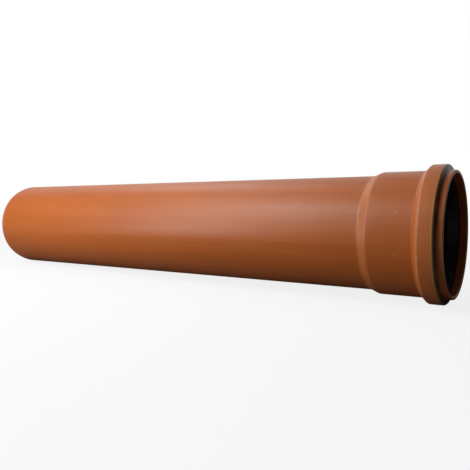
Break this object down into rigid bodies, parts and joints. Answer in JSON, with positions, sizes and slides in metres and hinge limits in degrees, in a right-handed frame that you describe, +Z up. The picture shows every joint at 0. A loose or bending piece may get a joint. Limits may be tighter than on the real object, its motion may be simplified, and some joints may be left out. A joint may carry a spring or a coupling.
{
  "type": "single socket drain pipe",
  "caption": "Short underground drain pipe with a formed push-fit socket and rubber seal at one end and a bevelled spigot at the other.",
  "frame": {"origin": "on the floor, under the middle of the bounding box", "axes": "+X along the pipe, out of the socket's mouth; +Z up"},
  "size_m": [0.6016, 0.1276, 0.1277],
  "materials": {
    "pipe_plastic": "orange-brown extruded plastic, satin, faint lengthwise draw lines",
    "seal_rubber": "black moulded rubber, matte"
  },
  "bodies": {
    "root": {"pipe": "pipe_plastic", "seal_ring": "seal_rubber"}
  },
  "joints": []
}
